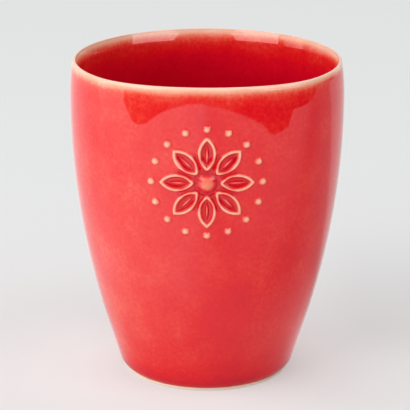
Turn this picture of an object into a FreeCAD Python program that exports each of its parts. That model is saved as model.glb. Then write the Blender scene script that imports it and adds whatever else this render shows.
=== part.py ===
import FreeCAD, Part
import Sketcher
import math
import os
from FreeCAD import Vector

# A handleless ceramic tumbler. Its front wall is pressed in to carry a round relief medallion.
# Lengths are in millimetres, +Z is up, and the medallion faces -Y. The origin is on the table, in the
# middle of the tumbler's box: the front is flatter than the back, so the axis lies a little in front of it.

doc = FreeCAD.newDocument("tumbler")
params = doc.addObject("Spreadsheet::Sheet", "Params")
VALUES = [
    ("height", 99.0, "foot to the top of the lip"),
    ("body_radius", 42.0, "widest radius, over the glaze"),
    ("widest_height_share", 0.8788, "height of the widest radius, as a share of the height"),
    ("belly_arc_share", 2.4242, "profile radius of the belly, as a share of the height"),
    ("shoulder_arc_share", 0.7677, "profile radius from the widest point to the lip, share of the height"),
    ("cone_angle", 17.0, "lean of the straight lower wall from upright, degrees"),
    ("heel_arc", 5.0, "profile radius where the wall turns in to the foot"),
    ("heel_centre", 5.2, "height of the centre of the heel's arc"),
    ("foot_reach", 2.57, "from the heel arc's centre out to the bare foot ring's outer face"),
    ("foot_edge", 0.3, "rounding of the foot ring's two lower edges"),
    ("glaze_line", 1.1, "height where the outer glaze stops"),
    ("glaze", 0.3, "thickness of the glaze"),
    ("ring_width", 3.7, "width of the foot ring, from its outer face to the hollow inside it"),
    ("recess_depth", 1.9, "depth of the hollow inside the foot ring"),
    ("recess_corner", 1.2, "rounding between the hollow's roof and the foot ring"),
    ("bore_inset", 2.6, "from the widest radius in to the inner face of the clay at the lip"),
    ("bore_arc_share", 3.4343, "profile radius of the inner wall, as a share of the height"),
    ("bore_corner", 10.0, "profile radius between the inner wall and the floor"),
    ("floor_height", 5.6, "top of the clay floor above the table"),
    ("overshoot", 20.0, "how far the plain forms run past the lip before they are trimmed"),
    ("trim_margin", 5.0, "how far a trimming ring reaches past what it trims"),
    ("lip_round", 0.5, "rounding of the clay lip's two edges"),
    ("lip_band", 3.0, "height of the band where the glaze runs thin over the lip"),
    ("press_height_share", 0.8081, "height where the flattened front stands furthest out, share of the height"),
    ("press_inset", 3.8, "from the widest radius in to that point, over the glaze"),
    ("press_arc_share", 4.0404, "upright profile radius of the flattened front, as a share of the height"),
    ("press_axis", 24.2, "how far behind the cup's axis the flattened front is centred"),
    ("press_crease", 20.0, "softening radius where the flattened front meets the round wall"),
    ("bulge_inset", 5.9, "from the widest radius in to the flattened front's inner face, at the lip"),
    ("bulge_arc_share", 5.6566, "upright profile radius of that inner face, as a share of the height"),
    ("bulge_crease", 18.0, "softening radius around that inner face"),
    ("medal_height_share", 0.7121, "height of the medallion's centre, as a share of the height"),
    ("relief", 0.6, "how far the medallion's lines stand above the glaze"),
    ("petals", 8, "petals around the boss"),
    ("petal_start", 3.7, "from the medallion's centre to a petal's inner tip"),
    ("petal_end", 13.9, "from the medallion's centre to a petal's outer tip"),
    ("petal_arc", 6.2, "radius of a petal's curved sides"),
    ("petal_line", 0.85, "width of a petal's raised outline"),
    ("vein_start", 6.0, "from the medallion's centre to a vein's inner tip"),
    ("vein_end", 11.0, "from the medallion's centre to a vein's outer tip"),
    ("vein_arc", 9.5, "radius of a vein's curved sides"),
    ("boss_ball", 3.9, "radius of the ball that forms the boss"),
    ("boss_rise", 1.5, "how far the boss stands above the clay"),
    ("beads", 16, "beads around the petals"),
    ("bead_ring", 16.3, "radius of the ring of beads"),
    ("bead_radius", 1.0, "radius of a bead"),
]
number = {}
for row, (alias, value, note) in enumerate(VALUES, start=1):
    params.set(f"A{row}", alias)
    params.set(f"B{row}", str(value))
    params.setAlias(f"B{row}", alias)
    params.set(f"C{row}", note)
    number[alias] = value
doc.recompute()
NEAR = 0.001  # lengths that differ by less are taken as equal


def named(word):
    # one length as an expression on the sheet: a value, or a share of the height
    if word in number:
        return "Params." + word
    if word + "_share" in number:
        return "(Params.height * Params." + word + "_share)"
    return word


def formula(text):
    # a sum of lengths, as an expression on the sheet
    return " ".join(map(named, text.split()))


def worth(text):
    # the present worth of a sum of lengths
    total, sign = 0.0, 1
    for word in text.split():
        if word in ("+", "-"):
            sign = 1 if word == "+" else -1
        elif word in number:
            total += sign * number[word]
        elif word + "_share" in number:
            total += sign * number["height"] * number[word + "_share"]
        else:
            total += sign * float(word)
    return total


def heel_place():
    # from the axis out to the centre of the heel's arc, for the arc and the straight wall to meet
    lean = math.radians(number["cone_angle"])
    swing = worth("belly_arc - heel_arc")
    return (worth("body_radius - belly_arc") + swing * math.cos(lean)
            - (worth("widest_height - heel_centre") - swing * math.sin(lean)) * math.tan(lean))


def heel_formula():
    lean = "(Params.cone_angle * 1 deg)"
    swing = "(" + formula("belly_arc - heel_arc") + ")"
    return (formula("body_radius - belly_arc") + " + " + swing + " * cos" + lean
            + " - (" + formula("widest_height - heel_centre") + " - " + swing + " * sin" + lean + ") * tan" + lean)


def face_at(up):
    # from the cup's axis to the flattened front, at a height
    return (formula("body_radius - press_inset - press_arc")
            + " + sqrt(" + named("press_arc") + "^2 - (" + up + " - " + named("press_height") + ")^2)")


def boss_tip():
    # from the cup's axis to the front of the medallion's boss
    drop = worth("press_height - medal_height")
    face = worth("body_radius - press_inset - press_arc") + math.sqrt(worth("press_arc") ** 2 - drop ** 2)
    return face + worth("boss_rise - glaze")


# How far the cup's axis lies in front of the middle of its box.
AXIS_LEAD = (number["body_radius"] - boss_tip()) / 2
AXIS_LEAD_FORMULA = ("((Params.body_radius - (" + face_at(named("medal_height"))
                     + " + Params.boss_rise - Params.glaze)) / 2)")


def plane(body, role):
    return [(part, "") for part in body.Origin.OriginFeatures if part.Role == role]


def new_body(label):
    body = doc.addObject("PartDesign::Body", label)
    body.Label = label
    body.AllowCompound = True
    return body


def new_sketch(body, name, role):
    sketch = body.newObject("Sketcher::SketchObject", name)
    sketch.AttachmentSupport = plane(body, role)
    sketch.MapMode = "FlatFace"
    if role == "XZ_Plane":
        sketch.setExpression("AttachmentOffset.Base.z", AXIS_LEAD_FORMULA)
    else:
        sketch.setExpression("AttachmentOffset.Base.x", "0 - " + AXIS_LEAD_FORMULA)
    sketch.Visibility = False
    return sketch


def hold(sketch, *relations):
    for relation in relations:
        sketch.addConstraint(Sketcher.Constraint(*relation))


def bind(sketch, text, kind, *where):
    # one dimension of a sketch, bound to a sum of named values
    index = sketch.addConstraint(Sketcher.Constraint(kind, *where, worth(text)))
    sketch.setExpression(f"Constraints[{index}]", formula(text))


def line(sketch, start, end):
    return sketch.addGeometry(Part.LineSegment(Vector(*start), Vector(*end)))


def arc(sketch, centre, radius, start, end):
    circle = Part.Circle(Vector(*centre), Vector(0, 0, 1), radius)
    return sketch.addGeometry(Part.ArcOfCircle(circle, start, end))


def close(sketch, edge, lid):
    # from the end of a profile's last curve along its lid to the axis, and down the axis
    axis = line(sketch, (0, worth("height + overshoot")), (0, 0))
    hold(sketch, ("Coincident", edge, 2, lid, 1), ("Horizontal", lid), ("PointOnObject", lid, 2, -2),
         ("Coincident", lid, 2, axis, 1), ("Coincident", axis, 2, 0, 1), ("PointOnObject", 0, 1, -2))
    bind(sketch, "height + overshoot", "DistanceY", -1, 1, lid, 2)


def turn(body, sketch, kind="PartDesign::Revolution", axis="V_Axis", angle=360):
    turned = body.newObject(kind, sketch.Name + "_turned")
    turned.Profile = sketch
    turned.ReferenceAxis = (sketch, [axis])
    turned.Midplane = True
    turned.Angle = angle
    turned.Refine = False
    doc.recompute()
    return turned


def outer_form(body, skin, bare):
    # the outer shape of the cup, set in by a skin, up past the lip;
    # a bare one stands on the foot ring, a glazed one ends at the glaze line
    sketch = new_sketch(body, body.Name + "_profile", "XZ_Plane")
    lean = math.radians(number["cone_angle"])
    top = worth("height + overshoot")
    belly, shoulder, heel = (worth(name + " - " + skin) for name in ("belly_arc", "shoulder_arc", "heel_arc"))
    widest, turn_height, heel_x = worth("widest_height"), number["heel_centre"], heel_place()
    belly_x, shoulder_x = worth("body_radius - belly_arc"), worth("body_radius - shoulder_arc")
    knee = (belly_x + belly * math.cos(lean), widest - belly * math.sin(lean))
    if bare:
        foot = heel_x + number["foot_reach"]
        start = -math.acos(number["foot_reach"] / heel)
        low = 0
    else:
        low = number["glaze_line"]
        start = math.asin((low - turn_height) / heel)
        foot = heel_x + heel * math.cos(start)
    rise = math.asin((top - widest) / shoulder)
    last = bottom = line(sketch, (0, low), (foot, low))
    if bare:
        last = line(sketch, (foot, low), (foot, turn_height + heel * math.sin(start)))
        hold(sketch, ("Coincident", bottom, 2, last, 1), ("Vertical", last), ("PointOnObject", bottom, 2, -1))
    else:
        bind(sketch, "glaze_line", "DistanceY", -1, 1, bottom, 2)
    heel_arc = arc(sketch, (heel_x, turn_height), heel, start, -lean)
    cone = line(sketch, (heel_x + heel * math.cos(lean), turn_height - heel * math.sin(lean)), knee)
    belly_arc = arc(sketch, (belly_x, widest), belly, -lean, 0)
    shoulder_arc = arc(sketch, (shoulder_x, widest), shoulder, 0, rise)
    lid = line(sketch, (shoulder_x + shoulder * math.cos(rise), top), (0, top))
    close(sketch, shoulder_arc, lid)
    hold(sketch, ("Horizontal", bottom), ("Coincident", last, 2, heel_arc, 1),
         ("Tangent", heel_arc, 2, cone, 1), ("Tangent", cone, 2, belly_arc, 1),
         ("Tangent", belly_arc, 2, shoulder_arc, 1), ("Horizontal", belly_arc, 3, shoulder_arc, 3))
    bind(sketch, "widest_height", "DistanceY", -1, 1, belly_arc, 3)
    bind(sketch, "body_radius - " + skin, "DistanceX", -1, 1, belly_arc, 2)
    bind(sketch, "belly_arc - " + skin, "Radius", belly_arc)
    bind(sketch, "shoulder_arc - " + skin, "Radius", shoulder_arc)
    bind(sketch, "heel_arc - " + skin, "Radius", heel_arc)
    bind(sketch, "heel_centre", "DistanceY", -1, 1, heel_arc, 3)
    if bare:
        bind(sketch, "foot_reach", "DistanceX", heel_arc, 3, bottom, 2)
    index = sketch.addConstraint(Sketcher.Constraint("Angle", cone, math.pi / 2 - lean))
    sketch.setExpression(f"Constraints[{index}]", "90 deg - Params.cone_angle * 1 deg")
    turn(body, sketch)
    flatten(body, "press_height", "press_inset", "press_arc", skin, "press_crease")


def inner_form(body, skin):
    # the room inside the cup, set in by a skin, up past the lip
    sketch = new_sketch(body, body.Name + "_profile", "XZ_Plane")
    top, wall, corner = worth("height + overshoot"), worth("bore_arc - " + skin), worth("bore_corner - " + skin)
    wall_x, floor = worth("body_radius - bore_inset - bore_arc"), worth("floor_height + " + skin)
    lean = math.asin((number["height"] - floor - corner) / (wall - corner))
    corner_x = wall_x + (wall - corner) * math.cos(lean)
    rise = math.asin((top - number["height"]) / wall)
    bottom = line(sketch, (0, floor), (corner_x, floor))
    corner_arc = arc(sketch, (corner_x, floor + corner), corner, -math.pi / 2, -lean)
    wall_arc = arc(sketch, (wall_x, number["height"]), wall, -lean, rise)
    lid = line(sketch, (wall_x + wall * math.cos(rise), top), (0, top))
    close(sketch, wall_arc, lid)
    hold(sketch, ("Horizontal", bottom), ("Tangent", bottom, 2, corner_arc, 1),
         ("Tangent", corner_arc, 2, wall_arc, 1))
    bind(sketch, "height", "DistanceY", -1, 1, wall_arc, 3)
    bind(sketch, "bore_arc - body_radius + bore_inset", "DistanceX", wall_arc, 3, -1, 1)
    bind(sketch, "bore_arc - " + skin, "Radius", wall_arc)
    bind(sketch, "bore_corner - " + skin, "Radius", corner_arc)
    bind(sketch, "floor_height + " + skin, "DistanceY", -1, 1, bottom, 2)
    turn(body, sketch)
    flatten(body, "height", "bulge_inset", "bulge_arc", skin, "bulge_crease")


def face_sketch(body, level, inset, curve, skin):
    # the upright profile of a flattened front, from below the foot to above the form,
    # with the upright line about which it is turned, behind the cup's own axis
    sketch = new_sketch(body, body.Name + "_front", "YZ_Plane")
    low, high = -number["trim_margin"], worth("height + overshoot + trim_margin")
    reach = curve + " - body_radius + " + inset
    middle, radius, centre = worth(level), worth(curve + " " + skin), worth(reach)
    drop, rise = math.asin((middle - low) / radius), math.asin((high - middle) / radius)
    face = arc(sketch, (centre, middle), radius, math.pi - rise, math.pi + drop)
    axis = line(sketch, (number["press_axis"], low), (number["press_axis"], high))
    sketch.toggleConstruction(axis)
    hold(sketch, ("Vertical", axis), ("Horizontal", axis, 1, face, 2), ("Horizontal", axis, 2, face, 1))
    bind(sketch, level, "DistanceY", -1, 1, face, 3)
    bind(sketch, reach, "DistanceX", -1, 1, face, 3)
    bind(sketch, curve + " " + skin, "Radius", face)
    bind(sketch, "trim_margin", "DistanceY", face, 2, -1, 1)
    bind(sketch, "height + overshoot + trim_margin", "DistanceY", -1, 1, face, 1)
    bind(sketch, "press_axis", "DistanceX", -1, 1, axis, 1)
    under = (centre - radius * math.cos(drop), low)
    over = (centre - radius * math.cos(rise), high)
    return sketch, face, axis, under, over


def flatten(body, level, inset, curve, skin, crease):
    # pare the front wall down to a flatter face and soften the crease it leaves
    sketch, face, axis, under, over = face_sketch(body, level, inset, curve, "- " + skin)
    far = worth("body_radius + trim_margin")
    low = line(sketch, under, (-far, under[1]))
    back = line(sketch, (-far, under[1]), (-far, over[1]))
    high = line(sketch, (-far, over[1]), over)
    hold(sketch, ("Coincident", face, 2, low, 1), ("Horizontal", low), ("Coincident", low, 2, back, 1),
         ("Vertical", back), ("Coincident", back, 2, high, 1), ("Coincident", high, 2, face, 1),
         ("Horizontal", high))
    bind(sketch, "body_radius + trim_margin", "DistanceX", low, 2, -1, 1)
    pared = turn(body, sketch, "PartDesign::Groove", "Axis0", 180)
    radius, centre = worth(curve + " - " + skin), worth(curve + " - body_radius + " + inset)

    def on_face(point):
        reach = number["press_axis"] - centre + math.sqrt(radius ** 2 - (point.z - worth(level)) ** 2)
        behind = point.y + AXIS_LEAD - number["press_axis"]
        return abs(math.hypot(point.x, behind) - reach) < NEAR

    rim = [f"Edge{place}" for place, edge in enumerate(pared.Shape.Edges, start=1)
           if edge.BoundBox.ZLength > number["trim_margin"] and all(map(on_face, edge.discretize(5)))]
    soften(body, pared, rim, crease + " - " + skin, "crease")


def front_block(label, skin):
    # everything behind the flattened front, out to a skin in front of or behind the glaze
    body = new_body(label)
    sketch, face, axis, under, over = face_sketch(body, "press_height", "press_inset", "press_arc", skin)
    low = line(sketch, under, (number["press_axis"], under[1]))
    back = line(sketch, (number["press_axis"], under[1]), (number["press_axis"], over[1]))
    high = line(sketch, (number["press_axis"], over[1]), over)
    hold(sketch, ("Coincident", face, 2, low, 1), ("Coincident", low, 2, back, 1), ("Coincident", back, 1, axis, 1),
         ("Coincident", back, 2, high, 1), ("Coincident", back, 2, axis, 2), ("Coincident", high, 2, face, 1))
    turn(body, sketch, "PartDesign::Revolution", "Axis0", 180)
    return body


def soften(body, base, edges, radius, name):
    soft = body.newObject("PartDesign::Fillet", body.Name + "_" + name)
    soft.Base = (base, edges)
    soft.Refine = False
    soft.setExpression("Radius", formula(radius))
    doc.recompute()


def hollow(body, tool):
    cut = body.newObject("PartDesign::Boolean", body.Name + "_hollow")
    cut.Type = "Cut"
    cut.addObjects([tool])
    cut.Refine = False
    doc.recompute()


def trim(body, name, low, high):
    # take away everything between two levels
    sketch = new_sketch(body, body.Name + "_" + name, "XZ_Plane")
    far, floor, roof = worth("body_radius + trim_margin"), worth(low), worth(high)
    corners = [(0, floor), (far, floor), (far, roof), (0, roof)]
    for place in range(4):
        line(sketch, corners[place], corners[(place + 1) % 4])
    hold(sketch, ("Horizontal", 0), ("Vertical", 1), ("Horizontal", 2), ("Vertical", 3),
         ("PointOnObject", 0, 1, -2))
    for place in range(4):
        hold(sketch, ("Coincident", place, 2, (place + 1) % 4, 1))
    bind(sketch, low, "DistanceY", -1, 1, 0, 2)
    bind(sketch, high, "DistanceY", -1, 1, 2, 1)
    bind(sketch, "body_radius + trim_margin", "DistanceX", -1, 1, 0, 2)
    return turn(body, sketch, "PartDesign::Groove")


def level_edges(shape, level):
    # the edges that lie flat at one height
    names = []
    for place, edge in enumerate(shape.Edges, start=1):
        box = edge.BoundBox
        if abs(box.ZMin - level) < NEAR and abs(box.ZMax - level) < NEAR:
            names.append(f"Edge{place}")
    return names


def recess_profile(body, glazed):
    # the hollow inside the foot ring, or the glaze that lines it
    sketch = new_sketch(body, body.Name + "_recess", "XZ_Plane")
    reach = heel_place() + worth("foot_reach - ring_width")
    deep, corner = number["recess_depth"], number["recess_corner"]
    roof = line(sketch, (0, deep), (reach - corner, deep))
    outer = arc(sketch, (reach - corner, deep - corner), corner, 0, math.pi / 2)
    hold(sketch, ("Horizontal", roof), ("PointOnObject", roof, 1, -2), ("Tangent", roof, 2, outer, 2),
         ("Horizontal", outer, 1, outer, 3))
    bind(sketch, "recess_depth", "DistanceY", -1, 1, roof, 2)
    index = sketch.addConstraint(Sketcher.Constraint("DistanceX", -1, 1, outer, 1, reach))
    sketch.setExpression(f"Constraints[{index}]", heel_formula() + " + " + formula("foot_reach - ring_width"))
    bind(sketch, "recess_corner", "Radius", outer)
    if glazed:
        skin = number["glaze"]
        step = line(sketch, (reach, deep - corner), (reach - skin, deep - corner))
        inner = arc(sketch, (reach - corner, deep - corner), corner - skin, 0, math.pi / 2)
        under = line(sketch, (reach - corner, deep - skin), (0, deep - skin))
        side = line(sketch, (0, deep - skin), (0, deep))
        hold(sketch, ("Coincident", outer, 1, step, 1), ("Horizontal", step), ("Coincident", step, 2, inner, 1),
             ("Coincident", inner, 3, outer, 3), ("Coincident", inner, 2, under, 1), ("Horizontal", under),
             ("Vertical", inner, 2, outer, 2), ("PointOnObject", under, 2, -2),
             ("Coincident", under, 2, side, 1), ("Coincident", side, 2, roof, 1))
        bind(sketch, "recess_corner - glaze", "Radius", inner)
        return turn(body, sketch)
    wall = line(sketch, (reach, deep - corner), (reach, 0))
    ground = line(sketch, (reach, 0), (0, 0))
    side = line(sketch, (0, 0), (0, deep))
    hold(sketch, ("Tangent", outer, 1, wall, 1), ("Coincident", wall, 2, ground, 1), ("Horizontal", ground),
         ("PointOnObject", ground, 2, -1), ("PointOnObject", ground, 2, -2),
         ("Coincident", ground, 2, side, 1), ("Coincident", side, 2, roof, 1))
    return turn(body, sketch, "PartDesign::Groove")


def combined(kind, label, base, tool):
    result = doc.addObject(kind, label)
    result.Label = label
    result.Base, result.Tool = base, tool
    result.Refine = False
    doc.recompute()
    return result


# The fired clay: the outer form less the bore, cut off at the lip, with the hollow under the foot.
clay_bore = new_body("clay_bore")
inner_form(clay_bore, "0")
clay_body = new_body("clay_body")
outer_form(clay_body, "glaze", True)
hollow(clay_body, clay_bore)
trim(clay_body, "rim", "height - glaze", "height + overshoot + trim_margin")
footed = recess_profile(clay_body, False)
edges = level_edges(footed.Shape, worth("height - glaze"))
soften(clay_body, footed, edges, "lip_round", "lip")
soften(clay_body, clay_body.Tip, level_edges(clay_body.Tip.Shape, 0), "foot_edge", "foot_edge")

# The glaze inside the cup, below the lip band.
drink_room = new_body("drink_room")
inner_form(drink_room, "glaze")
inner_glaze = new_body("inner_glaze")
inner_form(inner_glaze, "0")
hollow(inner_glaze, drink_room)
trim(inner_glaze, "band", "height - lip_band", "height + overshoot + trim_margin")

# The glaze outside, from the glaze line up to the lip band, before the medallion breaks through it.
clay_core = new_body("clay_core")
outer_form(clay_core, "glaze", True)
outer_skin = new_body("outer_skin")
outer_form(outer_skin, "0", False)
hollow(outer_skin, clay_core)
trim(outer_skin, "band", "height - lip_band", "height + overshoot + trim_margin")

# The thin glaze over the lip: a rounded ring less the clay lip it covers.
lip_bore = new_body("lip_bore")
inner_form(lip_bore, "glaze")
lip_ring = new_body("lip_ring")
outer_form(lip_ring, "0", False)
hollow(lip_ring, lip_bore)
trim(lip_ring, "rim", "height", "height + overshoot + trim_margin")
ringed = trim(lip_ring, "under", "0", "height - lip_band")
soften(lip_ring, ringed, level_edges(ringed.Shape, worth("height")), "lip_round + glaze", "lip")
lip_glaze = combined("Part::Cut", "lip_glaze", lip_ring, clay_body)

# The glaze in the hollow under the foot.
base_glaze = new_body("base_glaze")
recess_profile(base_glaze, True)


def front_sketch(body, name):
    # a sketch that faces the medallion, its origin on the medallion's axis
    sketch = new_sketch(body, name, "XZ_Plane")
    sketch.setExpression("AttachmentOffset.Base.y", named("medal_height"))
    return sketch


def lens(sketch, low, high, radius):
    # a pointed oval that stands on the sketch's upright axis
    middle, half = (low + high) / 2, (high - low) / 2
    across, turned = math.sqrt(radius ** 2 - half ** 2), math.asin(half / radius)
    right = arc(sketch, (-across, middle), radius, -turned, turned)
    left = arc(sketch, (across, middle), radius, math.pi - turned, math.pi + turned)
    hold(sketch, ("Coincident", right, 2, left, 1), ("Coincident", left, 2, right, 1),
         ("PointOnObject", right, 2, -2), ("PointOnObject", right, 1, -2), ("Equal", right, left))
    return right


def bound_lens(sketch, start, end, side):
    right = lens(sketch, number[start], number[end], number[side])
    bind(sketch, start, "DistanceY", -1, 1, right, 1)
    bind(sketch, end, "DistanceY", -1, 1, right, 2)
    bind(sketch, side, "Radius", right)
    return right


def spread(body, feature, sketch, count):
    # repeat a feature evenly about the medallion's axis
    around = body.newObject("PartDesign::PolarPattern", feature.Name + "_around")
    around.Originals = [feature]
    around.Axis = (sketch, ["N_Axis"])
    around.Angle = 360
    around.setExpression("Occurrences", "Params." + count)
    around.Refine = False
    body.Tip = around
    doc.recompute()


def raised(body, sketch, count):
    pad = body.newObject("PartDesign::Pad", sketch.Name + "_pad")
    pad.Profile = sketch
    pad.Refine = False
    pad.setExpression("Length", "Params.body_radius")
    doc.recompute()
    spread(body, pad, sketch, count)


def ball(name, radius, across, out, up):
    shape = doc.addObject("Part::Sphere", name)
    shape.setExpression("Radius", radius)
    shape.setExpression("Placement.Base.x", across)
    shape.setExpression("Placement.Base.y", "0 - (" + out + ") - " + AXIS_LEAD_FORMULA)
    shape.setExpression("Placement.Base.z", up)
    return shape


# The clay behind the flattened front, and the same out to the top of the medallion's lines.
clay_front = front_block("clay_front", "- glaze")
line_front = front_block("line_front", "+ relief")
line_shell = combined("Part::Cut", "line_shell", line_front, clay_front)

# Petals: a raised outline each. The glaze pools inside it.
petal_form = new_body("petal_form")
petal = front_sketch(petal_form, "petal")
edge = bound_lens(petal, "petal_start", "petal_end", "petal_arc")
middle, half = worth("petal_start + petal_end") / 2, worth("petal_end - petal_start") / 2
inside = worth("petal_arc - petal_line")
inner_half = math.sqrt(inside ** 2 - number["petal_arc"] ** 2 + half ** 2)
pool = lens(petal, middle - inner_half, middle + inner_half, inside)
hold(petal, ("Coincident", pool, 3, edge, 3))
bind(petal, "petal_arc - petal_line", "Radius", pool)
raised(petal_form, petal, "petals")
sprig_petals = combined("Part::Common", "sprig_petals", petal_form, line_shell)

# A vein down the middle of each petal.
vein_form = new_body("vein_form")
vein = front_sketch(vein_form, "vein")
bound_lens(vein, "vein_start", "vein_end", "vein_arc")
raised(vein_form, vein, "petals")
sprig_veins = combined("Part::Common", "sprig_veins", vein_form, line_shell)

# The boss in the centre, the cap of a ball.
boss_form = ball("boss_form", "Params.boss_ball", "0",
                 face_at(named("medal_height")) + " - Params.glaze + Params.boss_rise - Params.boss_ball",
                 named("medal_height"))
sprig_boss = combined("Part::Cut", "sprig_boss", boss_form, clay_front)

# A ring of low round beads.
bead_form = new_body("bead_form")
bead = front_sketch(bead_form, "bead")
disc = bead.addGeometry(Part.Circle(Vector(0, number["bead_ring"]), Vector(0, 0, 1), number["bead_radius"]))
hold(bead, ("PointOnObject", disc, 3, -2))
bind(bead, "bead_ring", "DistanceY", -1, 1, disc, 3)
bind(bead, "bead_radius", "Radius", disc)
raised(bead_form, bead, "beads")
sprig_beads = combined("Part::Common", "sprig_beads", bead_form, line_shell)

# The glaze outside, broken through by the medallion.
less_boss = combined("Part::Cut", "less_boss", outer_skin, boss_form)
less_beads = combined("Part::Cut", "less_beads", less_boss, bead_form)
less_veins = combined("Part::Cut", "less_veins", less_beads, vein_form)
outer_glaze = combined("Part::Cut", "outer_glaze", less_veins, petal_form)

PARTS = [clay_body, outer_glaze, inner_glaze, lip_glaze, base_glaze,
         sprig_boss, sprig_petals, sprig_veins, sprig_beads]
doc.recompute()
for item in doc.Objects:
    if "Invalid" in item.State or "Error" in item.State:
        raise RuntimeError(item.Name + " did not build: " + str(item.State))
    if item.TypeId == "Sketcher::SketchObject" and not item.FullyConstrained:
        raise RuntimeError(item.Name + " is not fully held")
os.makedirs("parts", exist_ok=True)
for item in PARTS:
    if item.Shape.isNull() or not item.Shape.isValid() or item.Shape.Volume <= 0:
        raise RuntimeError(item.Label + " has no valid solid")
    item.Shape.exportStep("parts/" + item.Label + ".step")
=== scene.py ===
import bpy
import math
import numpy as np
from mathutils import Matrix, Vector


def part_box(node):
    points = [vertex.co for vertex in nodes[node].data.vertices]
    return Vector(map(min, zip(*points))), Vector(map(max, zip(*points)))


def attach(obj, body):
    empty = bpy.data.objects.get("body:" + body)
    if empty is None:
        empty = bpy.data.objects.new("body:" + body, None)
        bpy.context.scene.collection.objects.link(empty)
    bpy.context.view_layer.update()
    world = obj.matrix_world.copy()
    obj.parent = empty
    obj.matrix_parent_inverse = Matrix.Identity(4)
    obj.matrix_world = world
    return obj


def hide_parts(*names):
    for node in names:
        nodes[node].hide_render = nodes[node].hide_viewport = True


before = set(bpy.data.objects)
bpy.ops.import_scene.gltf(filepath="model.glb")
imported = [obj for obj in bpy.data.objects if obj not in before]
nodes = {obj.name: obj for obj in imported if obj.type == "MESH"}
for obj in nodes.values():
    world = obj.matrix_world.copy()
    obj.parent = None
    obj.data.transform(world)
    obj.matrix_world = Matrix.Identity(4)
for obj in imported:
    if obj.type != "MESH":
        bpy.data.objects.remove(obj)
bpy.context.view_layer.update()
MM = 0.001


# A handleless glazed tumbler: one skin of glaze, cut into pieces and raised into a medallion, over the clay.
def span(name, axis):
    # where a node starts and ends along x, y or z, in millimetres
    low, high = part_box(name)
    place = "xyz".index(axis)
    return low[place] / MM, high[place] / MM


def half(name, axis):
    low, high = span(name, axis)
    return round((high - low) / 2, 3)


# Sizes in millimetres, first those that the frame shows. Radii are measured from the cup's own axis, which
# stands a little in front of the origin.
HEIGHT = round(span("lip_glaze", "z")[1], 3)
LIP_BAND = 2 * half("lip_glaze", "z")
BODY = half("outer_glaze", "x")
GLAZE_LINE = round(span("outer_glaze", "z")[0], 3)
GLAZE = round(HEIGHT - span("clay_body", "z")[1], 3)
FLOOR_Z = round(span("inner_glaze", "z")[0] + GLAZE, 3)
AXIS_Y = round(sum(span("base_glaze", "y")) / 2, 4)
MEDAL_Z = round(sum(span("sprig_petals", "z")) / 2, 2)
PETAL_END, VEIN_END = half("sprig_petals", "x"), half("sprig_veins", "x")

# The outer profile: an arc over the widest height, one under it, a straight lean, and an arc into the foot.
WIDEST_Z = 87.0
SHOULDER_ARC, BELLY_ARC = 76.0, 240.0
LEAN = math.radians(17.0)
KNEE_R = BODY - BELLY_ARC + BELLY_ARC * math.cos(LEAN)
KNEE_Z = WIDEST_Z - BELLY_ARC * math.sin(LEAN)
HEEL_ARC, HEEL_R, HEEL_Z = 5.0, 22.73, 5.2
FOOT_R = 25.3

# The flattened front, centred behind the axis: its reach, upright arc and soft crease, outside and inside.
PRESS_BACK, PRESS_Z = 24.2, 80.0
PRESS_OUT, PRESS_OUT_ARC, PRESS_OUT_CREASE = 38.2, 400.0, 3.0
PRESS_IN, PRESS_IN_ARC, PRESS_IN_CREASE = 36.1 - GLAZE, 559.7, 2.6

# The bore: its radius at the lip, its upright arc, and the arc between the wall and the floor.
BORE_R, BORE_ARC, CORNER_ARC = 39.4 - GLAZE, 339.7, 9.7
CORNER_Z = FLOOR_Z + CORNER_ARC

# The lip: how far under the crest it starts to round, how far outwards from the bore the crest stands, and
# the bevel's points: reach out from the bore, depth under the crest, slant from straight down in degrees.
LIP_ROUND = 1.0
CREST = 1.28
BEVEL = [(CREST, 0.0, 88), (0.98, 0.65, 27), (0.13, 3.1, 13), (0.0, 4.2, 0)]
BEVEL_STEPS = (6, 10, 4)

# The medallion: its lines' height, where its pieces lie and the arcs of their sides, how far inside a side
# the line lies and how wide it is, and the hollows' depth in the petals, between them and round the boss.
RELIEF = 0.6
PETALS, PETAL_START, PETAL_ARC = 8, 3.7, 6.2
VEIN_START, VEIN_ARC = 6.0, 9.5
LINE_INSET, LINE_SPREAD = 0.42, 0.72
VEIN_INSET, VEIN_SPREAD = 0.34, 0.58
BEADS, BEAD_RING, BEAD_R = 16, 16.3, 1.24
BOSS_BALL, BOSS_SINK, MOAT_R = 3.9, 2.7, 4.6
DISH_RING, DISH_WIDE, DISH_HIGH = 6.7, 2.1, 3.5
PETAL_HOLLOW, DISH_HOLLOW, MOAT_HOLLOW = 0.26, 0.27, 0.2

# Round the medallion's centre: where its fields end, half its piece's height, and half the fine rows' height.
MEDAL_R = 19.5
PATCH_HALF, FINE_HALF = 17.9, 18.3

# The glaze's value where it lies evenly, from 0 (none) to 1 (a deep pool).
EVEN_GLAZE = 0.5


def smooth(t):
    t = np.clip(t, 0.0, 1.0)
    return t * t * (3.0 - 2.0 * t)


def hump(value, centre, width):
    return np.exp(-((value - centre) / width) ** 2)


def softmin(a, b, k):
    h = np.clip(0.5 + 0.5 * (b - a) / k, 0.0, 1.0)
    return b * (1 - h) + a * h - k * h * (1 - h)


def softmax(a, b, k):
    return -softmin(-a, -b, k)


def wave(seed, count, low, high):
    # a seeded sum of slow waves over a point's place, for the small unevenness of a made thing
    rng = np.random.default_rng(seed)
    way = rng.normal(size=(count, 3))
    way /= np.linalg.norm(way, axis=1)[:, None]
    pitch = rng.uniform(low, high, count)
    phase = rng.uniform(0, 2 * math.pi, count)

    def value(x, y, z):
        total = np.zeros(np.broadcast(x, y, z).shape)
        for d, p, f in zip(way, pitch, phase):
            total = total + np.sin(2 * math.pi * (d[0] * x + d[1] * y + d[2] * z) / p + f)
        return total / math.sqrt(count)
    return value


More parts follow.
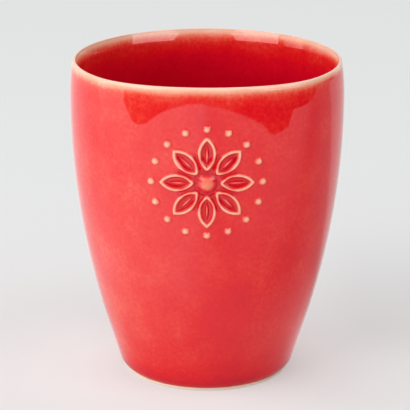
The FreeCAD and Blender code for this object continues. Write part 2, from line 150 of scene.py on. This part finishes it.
def arc_height(arc, offset):
    # how far an upright arc has drawn in, as a negative reach, at a height measured from its widest point
    return np.sqrt(np.maximum(arc ** 2 - offset ** 2, 0)) - arc


def outer_radius(z):
    shoulder = BODY + arc_height(SHOULDER_ARC, z - WIDEST_Z)
    belly = BODY + arc_height(BELLY_ARC, z - WIDEST_Z)
    cone = KNEE_R - (KNEE_Z - z) * math.tan(LEAN)
    return np.where(z > WIDEST_Z, shoulder, np.where(z > KNEE_Z, belly, cone))


def flat_radius(az, front, arc, offset):
    # how far out the flattened front lies, from the cup's axis; at the back it's out of reach
    reach = PRESS_BACK + front + arc_height(arc, offset)
    c = -PRESS_BACK * np.cos(az)
    out = c + np.sqrt(np.maximum(c * c - PRESS_BACK ** 2 + reach ** 2, 0))
    return np.where(np.cos(az) > -0.2, out, 1e3)


def outer_at(az, z):
    flat = flat_radius(az, PRESS_OUT, PRESS_OUT_ARC, z - PRESS_Z)
    return softmin(outer_radius(z), flat, PRESS_OUT_CREASE)


def inner_at(az, z):
    wall = BORE_R + arc_height(BORE_ARC, z - HEIGHT)
    return softmin(wall, flat_radius(az, PRESS_IN, PRESS_IN_ARC, z - HEIGHT), PRESS_IN_CREASE)


def spaced(low, high, step):
    count = max(1, int(round((high - low) / step)))
    return np.linspace(low, high, count, endpoint=False)


# The columns of the skin: close together across the medallion, wider apart round the back.
PATCH_AZ, EASE_AZ = math.radians(27.6), math.radians(40.0)
FINE, MEDIUM, COARSE = math.radians(0.235), math.radians(0.8), math.radians(1.8)
patch_azimuth = spaced(-PATCH_AZ, PATCH_AZ, FINE)
azimuth = np.concatenate([
    patch_azimuth, spaced(PATCH_AZ, EASE_AZ, MEDIUM), spaced(EASE_AZ, 2 * math.pi - EASE_AZ, COARSE),
    spaced(2 * math.pi - EASE_AZ, 2 * math.pi - PATCH_AZ, MEDIUM)])
columns = len(azimuth)
sine, cosine = np.sin(azimuth)[None, :], np.cos(azimuth)[None, :]

# The rows of the skin, from the foot over the lip to the middle of the floor: radii, height and kind.
rows = []


def add_row(radius, z, kind):
    rows.append((np.broadcast_to(radius, (columns,)), float(z), kind))


def hermite(start, end, count):
    # a smooth curve between two points that leaves and arrives at their slants
    reach = math.dist(start[:2], end[:2])
    ways = [(-math.sin(math.radians(slant)) * reach, math.cos(math.radians(slant)) * reach)
            for across, down, slant in (start, end)]
    made = []
    for t in np.linspace(0, 1, count + 1)[1:]:
        h = (2 * t ** 3 - 3 * t * t + 1, t ** 3 - 2 * t * t + t, 3 * t * t - 2 * t ** 3, t ** 3 - t * t)
        made.append([h[0] * start[i] + h[1] * ways[0][i] + h[2] * end[i] + h[3] * ways[1][i]
                     for i in range(2)])
    return made


# Outside: the glaze's rounded lower edge, the heel, and the wall, whose rows lie close across the medallion.
EDGE_Z, EDGE_WIDE, EDGE_HIGH = 0.85, 0.27, 0.12
WALL_STEP, FINE_STEP, UPPER_STEP, BAND_STEP = 1.1, 0.155, 0.4, 0.2
for t in np.linspace(0.0, math.pi / 2, 5):
    add_row(FOOT_R + EDGE_WIDE * math.sin(t), EDGE_Z + EDGE_HIGH * (1 - math.cos(t)), "edge")
heel_start = math.asin((GLAZE_LINE + 0.15 - HEEL_Z) / HEEL_ARC)
for a in np.linspace(heel_start, -LEAN, 14):
    add_row(HEEL_R + HEEL_ARC * math.cos(a), HEEL_Z + HEEL_ARC * math.sin(a), "wall")
wall_low = HEEL_Z - HEEL_ARC * math.sin(LEAN) + 0.6
fine_low, fine_high = MEDAL_Z - FINE_HALF, MEDAL_Z + FINE_HALF
band_z, round_z = HEIGHT - LIP_BAND, HEIGHT - LIP_ROUND
for low, high, step in ((wall_low, fine_low, WALL_STEP), (fine_low, fine_high, FINE_STEP),
                        (fine_high, band_z, UPPER_STEP), (band_z, round_z, BAND_STEP)):
    for z in spaced(low, high, step):
        add_row(outer_at(azimuth, z), z, "wall")

# The lip: a quick round outside, a soft bevel inside.
lip_in = inner_at(azimuth, round_z)
lip_width = outer_at(azimuth, round_z) - lip_in
for a in np.linspace(0.0, math.pi / 2, 10):
    out = CREST + (lip_width - CREST) * math.cos(a)
    add_row(lip_in + out, round_z + LIP_ROUND * math.sin(a), "lip_outside")
bevel = []
for start, end, steps in zip(BEVEL, BEVEL[1:], BEVEL_STEPS):
    bevel += [(across, HEIGHT - down) for across, down in hermite(start, end, steps)]
for across, z in bevel:
    add_row(inner_at(azimuth, z) + across, z, "lip_inside")

# Inside: the wall, the corner, and the floor.
INSIDE_TOP, INSIDE_FINE = HEIGHT - 4.5, 2.5
inside_low = INSIDE_TOP - INSIDE_FINE
for z in np.concatenate([INSIDE_TOP - spaced(0.0, INSIDE_FINE, 0.4),
                         inside_low - spaced(0.0, inside_low - CORNER_Z, 1.5)]):
    add_row(inner_at(azimuth, z), z, "inside")
lean_in = math.asin((HEIGHT - CORNER_Z) / (BORE_ARC - CORNER_ARC))
corner_r = inner_at(azimuth, CORNER_Z - CORNER_ARC * math.sin(lean_in)) - CORNER_ARC * math.cos(lean_in)
for a in np.linspace(-lean_in, -math.pi / 2, 14):
    add_row(corner_r + CORNER_ARC * math.cos(a), CORNER_Z + CORNER_ARC * math.sin(a), "floor")
for share in np.linspace(0.93, 0.02, 12):
    add_row(corner_r * share, FLOOR_Z, "floor")

# The skin as a grid of rows and columns, even at first: without relief and unevenness.
even_r = np.array([radius for radius, z, kind in rows])
row_z = np.array([z for radius, z, kind in rows])
even_z = np.repeat(row_z[:, None], columns, axis=1)
kinds = np.array([kind for radius, z, kind in rows])
outside_rows = np.flatnonzero(np.isin(kinds, ("edge", "wall")))
inside_rows = np.flatnonzero(np.isin(kinds, ("inside", "floor")))
outer_mask = np.isin(kinds, ("edge", "wall"))[:, None]


def ridge(t):
    return np.maximum(1 - t * t, 0) ** 1.6


def lens_distance(u, w, low, high, radius):
    # signed distance to the sides of a pointed oval that stands on the w axis: negative inside
    mid, reach = (low + high) / 2, (high - low) / 2
    across = math.sqrt(radius ** 2 - reach ** 2)
    return np.maximum(np.hypot(u + across, w - mid) - radius, np.hypot(u - across, w - mid) - radius)


def turned(u, w, angle):
    # across and along an arm of the medallion that points at an angle from straight up
    return u * math.cos(angle) - w * math.sin(angle), u * math.sin(angle) + w * math.cos(angle)


def medallion(u, w):
    # over the medallion's plane, u across and w up from its centre: the lines' height and the hollows' depth,
    # how much the glaze pools from 0 to 1, and the boss's height
    height, hollow, pool = np.zeros_like(u), np.zeros_like(u), np.zeros_like(u)
    radius = np.hypot(u, w)
    for k in range(PETALS):
        arm = 2 * math.pi * k / PETALS
        across, along = turned(u, w, arm)
        side = lens_distance(across, along, PETAL_START, PETAL_END, PETAL_ARC)
        line = ridge(np.abs(side + LINE_INSET) / LINE_SPREAD)
        vein = lens_distance(across, along, VEIN_START, VEIN_END, VEIN_ARC)
        rib = 0.95 * ridge(np.maximum(vein + VEIN_INSET, 0) / VEIN_SPREAD)
        petal_middle = (PETAL_START + PETAL_END) / 2 * math.cos(arm)
        deeper_above = 1 + 0.55 * np.clip((w - petal_middle) / 4.5, -1, 1)
        this_side = along > 0
        height = np.maximum(height, RELIEF * this_side * np.maximum(line, rib))
        hollow = np.maximum(hollow, this_side * PETAL_HOLLOW * deeper_above * smooth((-side - 0.5) / 1.5))
        pool = np.maximum(pool, this_side * smooth((-side - 0.75) / 0.7))
        between = arm + math.pi / PETALS
        across, along = turned(u, w, between)
        dish = np.maximum(1 - np.hypot(across / DISH_WIDE, (along - DISH_RING) / DISH_HIGH), 0)
        deeper_above = 1 + 0.6 * np.clip((w - DISH_RING * math.cos(between)) / 2.6, -1, 1)
        hollow = np.maximum(hollow, DISH_HOLLOW * deeper_above * smooth(dish / 0.9))
        pool = np.maximum(pool, smooth((dish - 0.05) / 0.45))
    for k in range(BEADS):
        arm = 2 * math.pi * k / BEADS
        apart = np.hypot(u - BEAD_RING * math.sin(arm), w - BEAD_RING * math.cos(arm))
        height = np.maximum(height, 1.02 * RELIEF * np.maximum(1 - (apart / BEAD_R) ** 2, 0) ** 0.9)
    ball = np.sqrt(np.maximum(BOSS_BALL ** 2 - radius ** 2, 0)) - BOSS_SINK
    cap = np.where(radius < BOSS_BALL, ball, -2.0)
    boss = np.maximum(softmax(cap, np.zeros_like(cap), 0.3) - 0.01, 0)
    moat = smooth((MOAT_R - radius) / 1.2)
    return height, np.maximum(hollow, MOAT_HOLLOW * moat), np.maximum(pool, moat), boss


across_front, up_front = even_r * sine, even_z - MEDAL_Z
in_front = outer_mask * (cosine > 0.7) * (np.hypot(across_front, up_front) < MEDAL_R)
height, hollow, pool, boss = (field * in_front for field in medallion(across_front, up_front))
relief = np.maximum(height, boss)

# The slight unevenness of the throwing: slow swells and fine ripples, less at the edge and on the floor.
SWELL, RIPPLE = 0.05, 0.012
even_x, even_y = even_r * sine, -even_r * cosine
swells = wave(11, 6, 55.0, 120.0)(even_x, even_y, even_z)
ripples = wave(12, 9, 9.0, 22.0)(even_x, even_y, even_z)
uneven = SWELL * swells + RIPPLE * ripples
calm = np.array([{"edge": 0.2, "floor": 0.3}.get(kind, 1.0) for kind in kinds])[:, None]
skin_r = even_r + relief - hollow * (boss <= 0) + uneven * calm * np.where(outer_mask, -0.8, 0.8)
points = np.stack([skin_r * sine, -skin_r * cosine + AXIS_Y, even_z], axis=-1) * MM


def glaze_and_painted_light_values():
    # how deep the glaze lies, from 0 to 1: thin at the lip and on ridges, deep in hollows and down the
    # inside; down the inside it also carries painted shade, and on the outside's left it is lowered as
    # painted light
    drift = wave(13, 10, 6.0, 40.0)(even_x, even_y, even_z * 0.5)
    drop = HEIGHT - even_z
    below = np.maximum(drop - 0.25, 0.0)
    side = (np.degrees(azimuth) + 180) % 360 - 180
    runs_off = below / (1 + 0.10 * drift)
    # outside: it deepens sooner on the right and lies deep over the foot; on the left it is lowered as
    # painted light
    sooner = 1 + 0.7 * hump(side, 68, 20)
    outer = np.interp(runs_off * sooner, [0, 0.55, 1.4, 2.2, 3.0, 4.1, 5.6],
                      [0, 0.055, 0.16, 0.27, 0.365, 0.455, EVEN_GLAZE])
    outer = outer - 0.04 * hump(drop, 5.0, 1.6) + 0.18 * smooth((7.5 - even_z) / 6.5)
    # painted light: the outside's left is made paler, as if lit more from that side
    outer = outer - 0.10 * hump(side, -45, 34) * smooth((even_z - 4) / 8) * smooth((97 - even_z) / 8)
    outer = outer * smooth((even_z - 0.80) / 0.75)
    # inside: it deepens slowly all the way down, and sooner at the sides; the dark colour deep down is partly
    # painted shade
    inner = np.interp(runs_off, [0, 0.75, 1.55, 2.9, 5.0, 7.95, 11, 16, 40],
                      [0, 0.07, 0.18, 0.32, 0.43, 0.62, 0.70, 0.80, 0.86])
    inner = inner + 0.09 * np.abs(sine) * hump(below, 3.6, 1.6)
    is_outside = np.isin(kinds, ("edge", "wall", "lip_outside"))[:, None]
    value = np.where(is_outside, outer, inner) + (1 - EVEN_GLAZE) * pool
    on_line = np.minimum(relief / RELIEF, 1.0) ** 0.85
    on_boss = 0.92 * np.clip(boss / 0.9, 0, 1) ** 0.6
    value = value * (1 - 0.86 * np.where(boss > height, on_boss, on_line))
    return np.clip(value + 0.02 * drift, 0.0, 1.0)


def grid_normals(p):
    # smooth normals of the whole skin, so that pieces cut from it meet without a crease
    around = np.roll(p, -1, axis=1) - np.roll(p, 1, axis=1)
    along = np.empty_like(p)
    along[1:-1] = p[2:] - p[:-2]
    along[0], along[-1] = p[1] - p[0], p[-1] - p[-2]
    n = np.cross(around, along)
    return n / np.maximum(np.linalg.norm(n, axis=2, keepdims=True), 1e-12)


# the glaze's values, with painted light on the outside's left and painted shade deep inside
glaze = glaze_and_painted_light_values()
normals = grid_normals(points)


def add_object(name, verts, faces, smoothed=False):
    mesh = bpy.data.meshes.new(name)
    mesh.from_pydata(verts, [], faces)
    mesh.update()
    mesh.polygons.foreach_set("use_smooth", np.full(len(faces), smoothed))
    made = bpy.data.objects.new(name, mesh)
    bpy.context.scene.collection.objects.link(made)
    return made


def cut_piece(name, row_low, row_high, keep, cap=False):
    # a piece of the skin: the grid's faces between two rows, where keep(row, column) holds
    quads = []
    for i in range(row_low, row_high):
        for j in range(columns):
            if keep(i, j):
                k = (j + 1) % columns
                quads.append(((i, j), (i, k), (i + 1, k), (i + 1, j)))
    used = sorted({corner for quad in quads for corner in quad})
    index = {corner: place for place, corner in enumerate(used)}
    faces = [tuple(index[corner] for corner in quad) for quad in quads]
    if cap:
        faces.append(tuple(index[row_high, j] for j in range(columns)))
    ii, jj = np.array(used).T
    piece = add_object(name, points[ii, jj].tolist(), faces, smoothed=True)
    depth = piece.data.attributes.new("glaze_depth_and_painted_light", "FLOAT", "POINT")
    depth.data.foreach_set("value", glaze[ii, jj].astype(np.float32))
    piece.data.normals_split_custom_set_from_vertices([tuple(v) for v in normals[ii, jj]])
    return piece


def row_before(z):
    return max(i for i in outside_rows if row_z[i] <= z)


def row_from(z):
    return min(i for i in outside_rows if row_z[i] >= z)


band_out = row_before(band_z)
band_in = min(i for i in inside_rows if row_z[i] <= band_z)
patch_low, patch_high = row_before(MEDAL_Z - PATCH_HALF), row_from(MEDAL_Z + PATCH_HALF)


def in_patch(i, j):
    return patch_low <= i < patch_high and j < len(patch_azimuth)


outside = cut_piece("glaze_outside", 0, band_out, lambda i, j: not in_patch(i, j))
medal = cut_piece("medallion", 0, band_out, in_patch)
lip = cut_piece("glaze_lip", band_out, band_in, lambda i, j: True)
inside = cut_piece("glaze_inside", band_in, len(rows) - 1, lambda i, j: True, cap=True)

# The clay under the glaze, one closed form: the hollow under the foot, the foot ring, the wall, the bore.
UNDER = 0.45
RIM_IN, RIM_ROUND = 0.86, 0.7
TURNS = 200
turns = np.linspace(-math.pi, math.pi, TURNS, endpoint=False)
HOLLOW_ROOF, HOLLOW_ROUND = 1.9, 1.2
RING_IN, RING_ROUND = 21.6, 0.3
RING_ROWS = (22.8, 24.0)
POLE = 0.0005
shell = []


def add_ring(radius, z):
    shell.append((np.broadcast_to(radius, (TURNS,)), z))


def add_arc(centre_r, centre_z, radius, start, end, count):
    # rings along an arc of the profile, its angles measured upwards from straight out
    for a in np.linspace(start, end, count):
        add_ring(centre_r + radius * math.cos(a), centre_z + radius * math.sin(a))


roof_r = RING_IN - HOLLOW_ROUND
for share in (POLE, 0.35, 0.7, 1.0):
    add_ring(roof_r * share, HOLLOW_ROOF)
add_arc(roof_r, HOLLOW_ROOF - HOLLOW_ROUND, HOLLOW_ROUND, math.pi / 2 - 0.3, 0.0, 6)
add_arc(RING_IN + RING_ROUND, RING_ROUND, RING_ROUND, math.pi, 3 * math.pi / 2, 6)
for radius in RING_ROWS:
    add_ring(radius, 0.0)
add_arc(FOOT_R - RING_ROUND, RING_ROUND, RING_ROUND, -math.pi / 2, 0.0, 6)
add_ring(FOOT_R, 0.8)
add_arc(HEEL_R, HEEL_Z, HEEL_ARC - UNDER, -0.98, -LEAN, 12)
for z in np.concatenate([spaced(4.6, band_z, 1.5), spaced(band_z, round_z, 0.5)]):
    add_ring(outer_at(turns, z) - UNDER, z)
rim_out, rim_in = outer_at(turns, round_z) - UNDER, inner_at(turns, round_z) + RIM_IN + UNDER
for a in np.linspace(0.0, math.pi, 11):
    add_ring((rim_out + rim_in) / 2 + (rim_out - rim_in) / 2 * math.cos(a), round_z + RIM_ROUND * math.sin(a))
bevel_across, bevel_z = zip(*bevel[::-1])
bevel_end = HEIGHT - BEVEL[-1][1]
for z in np.concatenate([np.linspace(HEIGHT - 1.4, bevel_end, 9),
                         np.linspace(bevel_end - 0.8, CORNER_Z, 53)]):
    add_ring(inner_at(turns, z) + np.interp(z, bevel_z, bevel_across) + UNDER, z)
base_r, base_arc = inner_at(turns, CORNER_Z) + UNDER, CORNER_ARC + UNDER
for a in np.linspace(0.1, math.pi / 2, 10):
    add_ring(base_r - base_arc * (1 - math.cos(a)), CORNER_Z - base_arc * math.sin(a))
for share in (0.7, 0.35, POLE):
    add_ring(base_r * share, FLOOR_Z - UNDER)

clay_points = [(r * math.sin(a) * MM, (AXIS_Y - r * math.cos(a)) * MM, z * MM)
               for radii, z in shell for r, a in zip(radii, turns)]
clay_faces = [(i * TURNS + j, i * TURNS + k, (i + 1) * TURNS + k, (i + 1) * TURNS + j)
              for i in range(len(shell) - 1) for j, k in zip(range(TURNS), [*range(1, TURNS), 0])]
top_ring = (len(shell) - 1) * TURNS
clay_faces += [tuple(reversed(range(TURNS))), tuple(range(top_ring, top_ring + TURNS))]
clay = add_object("clay", clay_points, clay_faces, smoothed=True)


# Materials
def new_material(name):
    material = bpy.data.materials.new(name)
    material.use_nodes = True
    tree = material.node_tree
    return material, tree, tree.nodes["Principled BSDF"]


def feed(tree, value, socket):
    # a socket is linked, anything else is set
    if isinstance(value, bpy.types.NodeSocket):
        tree.links.new(value, socket)
    else:
        socket.default_value = value


def node(tree, kind, **values):
    made = tree.nodes.new(kind)
    for key, value in values.items():
        if key in made.inputs:
            feed(tree, value, made.inputs[key])
        else:
            setattr(made, key, value)
    return made


def calculate(tree, operation, *values):
    made = node(tree, "ShaderNodeMath", operation=operation)
    for value, socket in zip(values, made.inputs):
        feed(tree, value, socket)
    return made.outputs[0]


def ranged(tree, value, low, high, start, end, passage="LINEAR"):
    # start where the value is at or under low, end where it's at or over high
    made = node(tree, "ShaderNodeMapRange", interpolation_type=passage)
    keys = ("Value", "From Min", "From Max", "To Min", "To Max")
    for key, number in zip(keys, (value, low, high, start, end)):
        feed(tree, number, made.inputs[key])
    return made.outputs["Result"]


def noise(tree, scale, detail, roughness):
    place = node(tree, "ShaderNodeTexCoord").outputs["Object"]
    made = node(tree, "ShaderNodeTexNoise", Vector=place, Scale=scale, Detail=detail, Roughness=roughness)
    return made.outputs["Fac"]


def ramp(tree, value, stops):
    made = node(tree, "ShaderNodeValToRGB", Fac=value)
    parts = made.color_ramp.elements
    parts[0].position, parts[0].color = stops[0][0], (*stops[0][1], 1)
    parts[1].position, parts[1].color = stops[-1][0], (*stops[-1][1], 1)
    for place, colour in stops[1:-1]:
        parts.new(place).color = (*colour, 1)
    return made.outputs["Color"]


def bump(tree, shader, height, strength):
    made = node(tree, "ShaderNodeBump", Strength=strength, Distance=0.0002, Height=height)
    tree.links.new(made.outputs["Normal"], shader.inputs["Normal"])


# the glaze's colours by depth; the stop at 0.82, darker than a deep pool's and reached mostly deep inside, is
# painted shade
GLAZE_STOPS = [
    (0.00, (0.98, 0.62, 0.455)), (0.10, (0.96, 0.44, 0.29)), (0.20, (0.93, 0.22, 0.135)),
    (0.30, (0.88, 0.080, 0.050)), (0.40, (0.84, 0.030, 0.024)), (0.50, (0.805, 0.009, 0.014)),
    (0.66, (0.70, 0.003, 0.018)), (0.82, (0.60, 0.0012, 0.016)), (1.00, (0.69, 0.0006, 0.009))]
CLAY_STOPS = [(0.3, (0.95, 0.74, 0.56)), (0.7, (0.99, 0.85, 0.69))]


def glaze_material(name, depth=None):
    # glossy glaze: its colour follows how deep it lies, with the painted light and shade that value carries,
    # and with fine and slow mottling and a faint ripple; a piece that carries no value at each point is given
    # one depth
    material, tree, shader = new_material(name)
    fine = noise(tree, 900.0, 3.0, 0.6)
    slow = noise(tree, 95.0, 4.0, 0.55)
    mottling = calculate(tree, "ADD", calculate(tree, "MULTIPLY_ADD", fine, 0.32, -0.16),
                         calculate(tree, "MULTIPLY_ADD", slow, 0.34, -0.17))
    if depth is None:
        field = node(tree, "ShaderNodeAttribute", attribute_name="glaze_depth_and_painted_light").outputs["Fac"]
        strength = ranged(tree, field, 0.1, 0.48, 0.25, 1.0)
    else:
        field, strength = depth, 1.0
    colour = ramp(tree, calculate(tree, "MULTIPLY_ADD", mottling, strength, field), GLAZE_STOPS)
    feed(tree, colour, shader.inputs["Base Color"])
    feed(tree, ranged(tree, slow, 0.0, 1.0, 0.02, 0.05), shader.inputs["Roughness"])
    bump(tree, shader, slow, 0.08)
    shader.inputs["IOR"].default_value = 1.5
    return material


def clay_material():
    material, tree, shader = new_material("bare_clay")
    grain = noise(tree, 1400.0, 5.0, 0.65)
    feed(tree, ramp(tree, grain, CLAY_STOPS), shader.inputs["Base Color"])
    bump(tree, shader, grain, 0.35)
    shader.inputs["Roughness"].default_value = 0.75
    return material


def dress(piece, material):
    piece.data.materials.clear()
    piece.data.materials.append(material)


skin_glaze = glaze_material("red_glaze")
for piece in (outside, medal, lip, inside):
    dress(piece, skin_glaze)
dress(clay, clay_material())
dress(nodes["base_glaze"], glaze_material("red_glaze_under", 0.52))

sprig = ["sprig_boss", "sprig_petals", "sprig_veins", "sprig_beads"]
for piece, slot, replaced in ((clay, "bare_clay", ["clay_body"]), (outside, "red_glaze", ["outer_glaze"]),
                              (medal, "raised_glaze", sprig), (lip, "thin_glaze", ["lip_glaze"]),
                              (inside, "red_glaze_inside", ["inner_glaze"])):
    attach(piece, "root")
    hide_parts(*replaced)


# The paper table, and a dark room round it that only reflections show.
def flat_mesh(name, verts, faces, colour):
    made = add_object(name, verts, faces)
    material, tree, shader = new_material(name)
    for key, value in (("Base Color", (*colour, 1)), ("Roughness", 0.9), ("Specular IOR Level", 0.0)):
        shader.inputs[key].default_value = value
    dress(made, material)
    return made


def even_out_with_painted_light(material, share):
    # a share of the paper glows with a pale tone to the camera and in reflections, with painted light and
    # shadow in places, and the rest takes the light and the shadow; places are in metres, x to the right and
    # y away from the medallion's side
    tree = material.node_tree
    rays = node(tree, "ShaderNodeLightPath").outputs
    place = node(tree, "ShaderNodeNewGeometry").outputs["Position"]
    split = node(tree, "ShaderNodeSeparateXYZ", Vector=place).outputs
    x, y = split["X"], split["Y"]
    reach = node(tree, "ShaderNodeVectorMath", operation="LENGTH", Vector=place).outputs["Value"]

    def ease(value, low, high, start, end):
        return ranged(tree, value, low, high, start, end, "SMOOTHSTEP")

    def times(*factors):
        product = factors[0]
        for factor in factors[1:]:
            product = calculate(tree, "MULTIPLY", product, factor)
        return product

    def plus(a, b):
        return calculate(tree, "ADD", a, b)

    # in reflections, painted: paler on the left as if a pale screen stood there, painted shade on the right
    # and before the foot, and painted light close beside and behind it
    left = times(ease(x, -0.035, 0.02, 1.7, 0.0), ease(y, -0.04, 0.06, 1.0, 0.3))
    right = times(ease(x, 0.02, 0.06, 0.0, -0.8), ease(y, -0.15, -0.03, -0.4, 1.0),
                  ease(calculate(tree, "MULTIPLY_ADD", x, -0.5, y), 0.0, 0.045, 1.0, 0.0))
    sides = times(plus(left, right), ease(reach, 0.040, 0.098, 0.0, 1.0))
    before_foot = times(ease(reach, 0.026, 0.050, -0.7, 0.0), ease(y, -0.025, 0.0, 1.0, 0.0))
    painted_light_beside_foot = times(ease(y, -0.015, 0.012, 0.0, 1.0), ease(reach, 0.030, 0.062, 0.50, 0.0))
    mirrored = plus(calculate(tree, "MAXIMUM", plus(before_foot, sides), -0.78), painted_light_beside_foot)
    # to the camera: painted light, paler to the left and front of the foot, and a painted shadow, darker on
    # the right
    lit = times(ease(plus(x, y), -0.035, 0.02, 1.0, 0.0), ease(reach, 0.026, 0.082, 0.25, 0.0))
    dim = times(ease(x, 0.026, 0.060, 0.0, -0.15), ease(y, -0.010, 0.035, 0.0, 1.0),
                ease(y, 0.05, 0.15, 1.0, 0.0))
    level = plus(calculate(tree, "MULTIPLY_ADD", plus(lit, dim), rays["Is Camera Ray"], 0.80),
                 times(mirrored, rays["Is Glossy Ray"]))
    glow = node(tree, "ShaderNodeEmission", Color=(0.995, 1.0, 0.995, 1), Strength=level)
    direct = calculate(tree, "MAXIMUM", rays["Is Camera Ray"], rays["Is Glossy Ray"])
    direct = calculate(tree, "MAXIMUM", direct, rays["Is Transmission Ray"])
    blend = node(tree, "ShaderNodeMixShader")
    shaders = (times(direct, share), tree.nodes["Principled BSDF"].outputs[0], glow.outputs[0])
    for value, socket in zip(shaders, blend.inputs):
        feed(tree, value, socket)
    tree.links.new(blend.outputs[0], tree.nodes["Material Output"].inputs["Surface"])


TABLE, TABLE_Z = 4.0, -0.0001
corners = [(x * TABLE, y * TABLE, TABLE_Z) for x, y in ((-1, -1), (1, -1), (1, 1), (-1, 1))]
floor = flat_mesh("floor", corners, [(0, 1, 2, 3)], (0.785, 0.785, 0.775))
even_out_with_painted_light(floor.data.materials[0], 0.40)

# The room's edge round the table, in millimetres: in from the left, forward in a round bay, out to the right.
# From there the room spreads outwards to the front and the sides, just over the table.
ROOM_Z, ROOM_SPREAD = 0.0006, 6
LEFT_EDGE = [(-665, -415), (-510, -332), (-368, -294), (-295, -276), (-259, -295)]
BAY_X, BAY_Y, BAY_R = -21, -322, 218
RIGHT_EDGE = [(214, -341), (216, -296), (230, -266), (268, -243), (298, -221), (382, -245), (447, -260),
              (546, -141), (678, -15), (856, 85), (993, 118), (919, 284), (762, 349), (624, 411), (473, 448)]
bay = [(BAY_X + BAY_R * math.cos(a), BAY_Y + BAY_R * math.sin(a))
       for a in np.radians(np.linspace(184, 342, 14))]
near_edge = [(x * MM, (y + AXIS_Y) * MM, ROOM_Z) for x, y in LEFT_EDGE + bay + RIGHT_EDGE]
far_edge = [(x * ROOM_SPREAD, y * ROOM_SPREAD if y < 0 else y, z) for x, y, z in near_edge]
count = len(near_edge)
room = flat_mesh("dark_room", near_edge + far_edge,
                 [(i, i + 1, count + i + 1, count + i) for i in range(count - 1)], (0.012, 0.010, 0.010))
room.visible_camera = False
room.visible_diffuse = False
room.visible_shadow = False


# The lamps. A plain one isn't seen in the glaze, and a window is seen in it but doesn't light it.
def soft_box(name, azimuth_deg, elevation, distance, wide, high, radiance, use="both", aim=(0, 0, 0.06)):
    light = bpy.data.lights.new(name, "AREA")
    light.shape = "RECTANGLE"
    light.size, light.size_y = wide, high
    light.energy = radiance * math.pi * wide * high
    lamp = bpy.data.objects.new(name, light)
    bpy.context.scene.collection.objects.link(lamp)
    a, e = math.radians(azimuth_deg), math.radians(elevation)
    way = Vector((math.sin(a) * math.cos(e), -math.cos(a) * math.cos(e), math.sin(e)))
    lamp.location = Vector(aim) + distance * way
    lamp.rotation_euler = (-way).to_track_quat("-Z", "Y").to_euler()
    lamp.visible_glossy = use != "plain"
    lamp.visible_diffuse = use != "window"


soft_box("light_left", -88, 16, 0.9, 0.35, 0.9, 1.45)
soft_box("light_left_front", -48, 24, 1.0, 0.77, 0.50, 3.5)
soft_box("light_right_front", 52, 24, 1.0, 0.77, 0.50, 0.8)
soft_box("light_right", 100, 20, 0.9, 0.35, 0.9, 0.3, "plain")
soft_box("window_right_front", 52, 24, 0.98, 0.75, 0.49, 2.7, "window")
soft_box("light_over", 50, 62, 1.1, 0.5, 0.5, 1.3, "plain")
soft_box("light_front", -4, 9, 1.0, 0.6, 0.3, 1.8, "plain")
soft_box("light_behind", 180, 65, 1.3, 1.2, 0.6, 1.35, aim=(0, 0.3, 0))

# The room's own light: pale behind and on the left, and overhead, and dim elsewhere.
world = bpy.data.worlds.new("room")
bpy.context.scene.world = world
world.use_nodes = True
tree = world.node_tree
way = node(tree, "ShaderNodeTexCoord").outputs["Generated"]
split = node(tree, "ShaderNodeSeparateXYZ", Vector=way).outputs
behind = ranged(tree, split["Y"], -0.15, 0.05, 0.0, 1.0)
not_right = ranged(tree, calculate(tree, "SUBTRACT", split["Y"], split["X"]), -0.1, 0.1, 0.0, 1.0)
overhead = ranged(tree, split["Z"], 0.25, 0.6, 0.0, 1.0)
pale = calculate(tree, "MAXIMUM", calculate(tree, "MINIMUM", behind, not_right), overhead)
background = tree.nodes["Background"].inputs
feed(tree, ranged(tree, pale, 0.0, 1.0, 0.06, 0.72), background["Strength"])
background["Color"].default_value = (0.95, 0.97, 1.0, 1)

# The camera, where the photo was taken from: its distance and angles, and its focal length in photo pixels.
REACH, TILT, FOCAL = 674.3, math.radians(17.61), 2162.3
PITCH, YAW, ROLL = math.radians(-0.196), math.radians(-0.053), math.radians(0.128)
PHOTO_WIDE, SENSOR = 410, 36
camera_data = bpy.data.cameras.new("camera")
camera = bpy.data.objects.new("camera", camera_data)
bpy.context.scene.collection.objects.link(camera)
stand = Vector((0, -REACH * math.cos(TILT) + AXIS_Y, HEIGHT / 2 + REACH * math.sin(TILT))) * MM
dip = TILT + PITCH
ahead = Vector((math.sin(YAW) * math.cos(dip), math.cos(YAW) * math.cos(dip), -math.sin(dip)))
level_right = Vector((math.cos(YAW), -math.sin(YAW), 0))
level_up = level_right.cross(ahead)
right = level_right * math.cos(ROLL) + level_up * math.sin(ROLL)
up = level_up * math.cos(ROLL) - level_right * math.sin(ROLL)
camera.matrix_world = Matrix.Translation(stand) @ Matrix((right, up, -ahead)).transposed().to_4x4()
camera_data.sensor_width = SENSOR
camera_data.lens = FOCAL / PHOTO_WIDE * SENSOR
bpy.context.scene.camera = camera
bpy.context.scene.view_settings.view_transform = "Standard"
